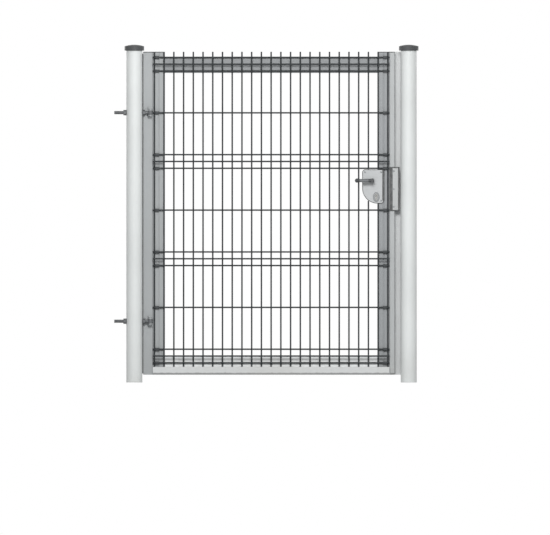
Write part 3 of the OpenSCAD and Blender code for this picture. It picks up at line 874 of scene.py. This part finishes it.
def guard_trim_shade_border():
    """Flat rubber border on the guard plate's face; its dark stands in for shade at the edges."""
    low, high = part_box("guard_plate")
    left, right, ends = 17 * MM, 8 * MM, 6 * MM
    thick, slope, inset = 1.8 * MM, 1.2 * MM, 0.4 * MM
    borders, none = (left, right, ends), (0, 0, 0)
    # The loops of the border's section: which outline, how far inside it and how high
    rims = [
        (none, inset, 0), (none, inset, thick - slope), (none, inset + slope, thick),
        (borders, -slope, thick), (borders, 0, thick - slope), (borders, 0, 0),
    ]
    loops = []
    for outline, inside, height in rims:
        a, b, c = [width + inside for width in outline]
        y = low.y - height
        loops.append([
            (low.x + a, y, low.z + c), (high.x - b, y, low.z + c),
            (high.x - b, y, high.z - c), (low.x + a, y, high.z - c),
        ])
    trim = stacked("trim", loops, closed=True)
    trim.materials.append(trim_rubber)
    joined("guard_trim_shade_border", [trim], "leaf", smooth_angle=20)


def lever_grips():
    """Ribbed sleeves on the middle of both levers."""
    start, end, ribs, core = 20 * MM, 66 * MM, 12, 6 * MM
    # Section of a rib: share of its length, and how far it stands out of the lever
    rib = ((0.0, 0.2 * MM), (0.2, 1.0 * MM), (0.75, 1.0 * MM), (0.95, 0.2 * MM))
    rib_length = (end - start) / ribs
    thinning = (GRIP_START_RADIUS - GRIP_END_RADIUS) / GRIP_LENGTH
    meshes = []
    for node in ("front_lever", "back_lever"):
        low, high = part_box(node)
        knob = (high.z - low.z) / 2
        centre_y = low.y + knob if node == "front_lever" else high.y - knob
        rings = [circle(core, start)]
        for i in range(ribs):
            for share, proud in rib:
                along = start + (i + share) * rib_length
                rings.append(circle(GRIP_START_RADIUS - along * thinning + proud, along))
        rings.append(circle(core, end))
        sleeve = stacked("sleeve", rings)
        place = (high.x - NECK_RADIUS, centre_y, (low.z + high.z) / 2)
        sleeve.transform(Matrix.Translation(place) @ TO_LEFT)
        sleeve.materials.append(grip_plastic)
        meshes.append(sleeve)
    joined("lever_grips", meshes, "handle", smooth_angle=40)


def hinge_side_seal():
    """Rubber blade that covers the gap between the hinge stile and its post."""
    reach, root_y, margin = 8 * MM, stile_low.y + 16 * MM, 6 * MM
    # Section of the blade: share of its reach, and millimetres from its middle
    blade = [(0, -3), (0, 3), (-0.4, 2.2), (-0.95, 0.9), (-1, 0), (-0.95, -0.9), (-0.4, -2.2)]
    loops = []
    for z in (stile_low.z + margin, stile_high.z - margin):
        loops.append([(stile_low.x + x * reach, root_y + y * MM, z) for x, y in blade])
    seal = stacked("seal", loops)
    seal.materials.append(trim_rubber)
    joined("hinge_side_seal", [seal], "leaf", smooth_angle=40)


gaskets_and_shade_strips()
guard_trim_shade_border()
lever_grips()
hinge_side_seal()


# ---------------------------------------------------------------- screws and threads


def screw_head(radius, height, socket):
    """A domed head with a six-sided socket, its seat at z = 0."""
    sides = 24

    def hexagon(share, z):
        """A hexagon of as many points as the circles have."""
        points = []
        for i in range(sides):
            off = (360 * i / sides + 30) % 60 - 30
            reach = share * socket / math.cos(math.radians(off))
            a = 2 * math.pi * i / sides
            points.append((reach * math.cos(a), reach * math.sin(a), z))
        return points

    return stacked("screw_head", [
        circle(radius, 0), circle(radius, 0.3 * height), circle(0.88 * radius, 0.75 * height),
        circle(0.66 * radius, height), hexagon(1, height), hexagon(0.9, 0.25 * height),
    ])


def screws():
    """Screws of the lock plates, the guard plate, the faceplate and the keep."""
    guard_low, guard_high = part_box("guard_plate")
    face_low, face_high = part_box("lock_faceplate")
    keep_low, keep_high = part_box("keep")
    inset, guard_inset = 11 * MM, 22.5 * MM
    meshes = []
    for y, turn in PLATE_FACES:
        head = turned(screw_head(*PLATE_SCREW), turn)
        across = (plate_high.x - plate_low.x - 2 * inset, 0, 0)
        top = row(pin_zinc, (plate_low.x + inset, y, plate_high.z - inset), across, 2)
        foot = row(pin_zinc, (plate_high.x - inset, y, plate_low.z + inset))
        meshes += [grown(head, top), grown(head, foot)]
    head = turned(screw_head(*EDGE_SCREW), TO_FRONT)
    rise = (guard_high.z - guard_low.z - 4 * inset) / 2
    start = (guard_low.x + guard_inset, guard_low.y, guard_low.z + 2 * inset)
    meshes.append(grown(head, row(pin_zinc, start, (0, 0, rise), 3)))
    head = turned(screw_head(*FACEPLATE_SCREW), TO_RIGHT)
    rise = face_high.z - face_low.z - 2 * inset
    start = (face_high.x, (face_low.y + face_high.y) / 2, face_low.z + inset)
    meshes.append(grown(head, row(pin_zinc, start, (0, 0, rise), 2)))
    joined("leaf_screws", meshes, "leaf")

    head = turned(screw_head(*EDGE_SCREW), TO_LEFT)
    rise = keep_high.z - keep_low.z - 4 * inset
    start = (keep_low.x, (keep_low.y + keep_high.y) / 2, keep_low.z + 2 * inset)
    pair = grown(head, row(pin_zinc, start, (0, 0, rise), 2))
    joined("keep_screws", [pair], "posts")


def bolt_threads():
    """Threads on the tails of the eye bolts behind the hinge post."""
    shank, pitch, depth, end = 8 * MM, 2.0 * MM, 0.6 * MM, 1.5 * MM
    meshes = []
    for level in ("upper", "lower"):
        bolt_low, bolt_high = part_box(f"{level}_hinge_bolt")
        nuts_low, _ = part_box(f"{level}_hinge_nuts")
        start = bolt_low.x + end
        inputs = {
            "Radius": shank, "Pitch": pitch, "Turns": (nuts_low.x - start) / pitch,
            "Depth": depth, "Finish": bolt_coat,
        }
        thread = turned(grown(line_mesh([(0, 0, 0)]), (THREAD_TREE, inputs)), TO_RIGHT)
        place = row(bolt_coat, (start, 0, (bolt_low.z + bolt_high.z) / 2))
        meshes.append(grown(thread, place))
    joined("bolt_threads", meshes, "posts", smooth_angle=50)


screws()
bolt_threads()


# ---------------------------------------------------------------- key cylinder


def key_plugs():
    """The turning plug in each face of the key cylinder, with its upright slot."""
    sides, proud = 32, 1.1 * MM
    foot_r, face_r = 6.6 * MM, 6.2 * MM
    half_w, half_h, slot_floor = 0.75 * MM, 4.2 * MM, 0.15 * MM
    angles = [2 * math.pi * (i + 0.5) / sides for i in range(sides)]

    def disc(radius, height):
        """Points on the plug's round edge."""
        return [(radius * math.cos(a), radius * math.sin(a), height) for a in angles]

    def slot(height):
        """As many points on the edge of the key slot."""
        reach = [min(half_w / abs(math.cos(a)), half_h / abs(math.sin(a))) for a in angles]
        return [(r * math.cos(a), r * math.sin(a), height) for a, r in zip(angles, reach)]

    meshes = []
    for y, turn in ((cylinder_low.y, TO_FRONT), (cylinder_high.y, TO_BACK)):
        mesh = stacked("plug", [
            disc(foot_r, 0), disc(foot_r, 0.7 * proud), disc(face_r, proud),
            slot(proud), slot(slot_floor),
        ])
        mesh.materials.append(cylinder_nickel)
        mesh.materials.append(key_slot_dark)
        filled = [p for p in mesh.polygons if len(p.vertices) == sides]
        min(filled, key=lambda p: p.area).material_index = 1
        mesh.transform(Matrix.Translation((cylinder_x, y, cylinder_z)) @ turn)
        meshes.append(mesh)
    joined("key_plugs", meshes, "leaf")


def cylinder_rosettes():
    """Oval steel rings that cover the edge of each plate's cylinder hole."""
    slack = 0.3 * MM
    round_r, foot_r = CYLINDER_RADIUS + slack, 5 * MM + slack
    foot_drop = cylinder_high.z - cylinder_low.z + 2 * slack - round_r - foot_r
    wide, tall, drop = 17 * MM, 25 * MM, 8 * MM
    sides, thick, slope = 96, 1.8 * MM, 0.9 * MM

    def hole(s, c):
        """Reach of the hole from the centre of its round part."""
        if c > 0 and s < foot_r / foot_drop:
            return foot_drop * c + math.sqrt(foot_r**2 - (foot_drop * s) ** 2)
        return foot_r / s if c > 0 and s < foot_r / round_r else round_r

    def rim(s, c, inset):
        """Reach of the oval, whose middle lies below the centre of the hole's round part."""
        a, b = wide - inset, tall - inset
        square, cross, rest = (s / a) ** 2 + (c / b) ** 2, drop * c / b**2, (drop / b) ** 2 - 1
        return (cross + math.sqrt(cross**2 - square * rest)) / square

    def loop(reach, height, *inset):
        """Points round the cylinder's axis, from straight down, each as far out as reach says."""
        points = []
        for i in range(sides):
            angle = 2 * math.pi * i / sides
            s, c = math.sin(angle), math.cos(angle)
            r = reach(abs(s), c, *inset)
            points.append((r * s, -r * c, height))
        return points

    meshes = []
    for y, turn in PLATE_FACES:
        ring = stacked("rosette", [
            loop(hole, 0), loop(hole, thick), loop(rim, thick, slope),
            loop(rim, thick - slope, 0), loop(rim, 0, 0),
        ], closed=True)
        if turn is TO_BACK:
            ring.transform(Matrix.Rotation(math.pi, 4, "Z"))
        ring.transform(Matrix.Translation((cylinder_x, y, cylinder_z)) @ turn)
        ring.materials.append(rosette_steel)
        meshes.append(ring)
    joined("cylinder_rosettes", meshes, "leaf")


key_plugs()
cylinder_rosettes()


# ---------------------------------------------------------------- welds


def bead(points, size=(3.0 * MM, 3.0 * MM, 2.2 * MM), seed=1):
    """A weld bead along the points."""
    inputs = {"Ripple": 2.4 * MM, "Size": size, "Seed": seed, "Finish": weld_paint}
    return grown(line_mesh(points), (BEAD_TREE, inputs))


def frame_welds():
    """Beads round the hinge brackets and at the ends of both rails."""
    rail_low, rail_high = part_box("bottom_rail")
    top_low, top_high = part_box("top_rail")
    flat = (2.6 * MM, 1.2 * MM, 2.2 * MM)
    margin, lip_margin, sunk = 4 * MM, 3 * MM, 0.4 * MM
    meshes = []
    for level in ("upper", "lower"):
        low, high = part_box(f"{level}_hinge_bracket")
        ends = low.z + margin, high.z - margin
        for x in (low.x, high.x - sunk):
            meshes.append(bead([(x, stile_low.y, z) for z in ends]))
    for seed, x in enumerate((rail_low.x, rail_high.x)):
        ends = rail_low.z + margin, rail_low.z + BOTTOM_LIP - lip_margin
        meshes.append(bead([(x, stile_low.y, z) for z in ends], flat, seed))
    for seed, x in enumerate((top_low.x, top_high.x)):
        ends = top_low.z + margin, top_high.z - margin
        for y in (flange_y, top_high.y):
            meshes.append(bead([(x, y, z) for z in ends], flat, seed + 2))
    joined("frame_welds", meshes, "leaf", smooth_angle=80)


def stop_welds():
    """Stitch welds that hold the stop profile to the latch post."""
    low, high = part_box("stop_profile")
    stitches, length, size = 8, 45 * MM, (3.4 * MM, 3.4 * MM, 2.4 * MM)
    past_side, behind_front = 1.0 * MM, 1.5 * MM
    pitch = (high.z - low.z - 2 * length) / (stitches - 1)
    stitch = bead([(0, 0, 0), (0, 0, length)], size, seed=7)
    start = (high.x + past_side, low.y + behind_front, low.z + length / 2)
    up = row(weld_paint, start, (0, 0, pitch), stitches)
    joined("stop_welds", [grown(stitch, up)], "posts", smooth_angle=80)


frame_welds()
stop_welds()


# ---------------------------------------------------------------- stage, light and camera


def white_rays(graph):
    """1 for rays that see the background straight on, in metal or through glass."""
    kinds = ("Is Camera Ray", "Is Glossy Ray", "Is Transmission Ray")
    camera, glossy, glass = [graph.node("ShaderNodeLightPath", out=kind) for kind in kinds]
    return (camera + glossy + glass).limited()


def floor():
    """Wide pale floor that keeps the gate's shadow."""
    reach, steps = 16, 8
    ground = bmesh.new()
    bmesh.ops.create_grid(ground, x_segments=steps, y_segments=steps, size=reach)
    mesh = bpy.data.meshes.new("floor")
    ground.to_mesh(mesh)
    ground.free()
    material = bpy.data.materials.new("floor_pale")
    material.use_nodes = True
    graph = Graph(material.node_tree)
    place = graph.node("ShaderNodeTexCoord", out="Object")
    away = graph.node("ShaderNodeVectorMath", {"operation": "LENGTH"}, {0: place}, out="Value")
    fade = graph.node(
        "ShaderNodeMapRange",
        {"interpolation_type": "SMOOTHSTEP"},
        {"Value": away, "From Min": 1.2, "From Max": 4.0, "To Min": 0.35},
    )
    matt = graph.node("ShaderNodeBsdfDiffuse", None, {"Color": srgb(236, 237, 238)})
    glow = graph.node("ShaderNodeEmission", None, {"Color": (1, 1, 1, 1), "Strength": 1.0})
    lit = graph.node("ShaderNodeMixShader", None, {0: white_rays(graph) * fade, 1: matt, 2: glow})
    graph.feed(material.node_tree.nodes["Material Output"].inputs["Surface"], lit)
    mesh.materials.append(material)
    plane = bpy.data.objects.new("floor", mesh)
    bpy.context.scene.collection.objects.link(plane)


def sky(ambient):
    """Even light from all round, on a white background."""
    world = bpy.data.worlds.new("studio")
    world.use_nodes = True
    bpy.context.scene.world = world
    graph = Graph(world.node_tree)
    strength = ambient + white_rays(graph) * (1 - ambient)
    graph.feed(world.node_tree.nodes["Background"].inputs["Color"], (1, 1, 1, 1))
    graph.feed(world.node_tree.nodes["Background"].inputs["Strength"], strength)


def lamp(name, place, size, power):
    """A round soft lamp that faces the gate's middle."""
    middle = Vector((0.7, 0, 0.85))
    light = bpy.data.lights.new(name, "AREA")
    light.shape, light.size, light.energy = "DISK", size, power
    holder = bpy.data.objects.new(name, light)
    holder.location = place
    holder.rotation_euler = (middle - Vector(place)).to_track_quat("-Z", "Y").to_euler()
    bpy.context.scene.collection.objects.link(holder)


def camera(place, width):
    """Straight front view without perspective, and how many metres it is wide."""
    data = bpy.data.cameras.new("front_view")
    data.type = "ORTHO"
    data.ortho_scale = width
    view = bpy.data.objects.new("front_view", data)
    view.location = place
    view.rotation_euler = (math.radians(90), 0, 0)
    bpy.context.scene.collection.objects.link(view)
    bpy.context.scene.camera = view


floor()
sky(ambient=0.22)
lamp("front", (0.9, -7.0, 3.6), 2.5, 385)
lamp("back_left", (-4.3, 5.4, 3.0), 3.0, 125)
lamp("back_right", (5.7, 5.4, 3.0), 3.0, 125)
camera((0.723, -8, 0.591), 2.827)
bpy.context.scene.view_settings.view_transform = "Standard"
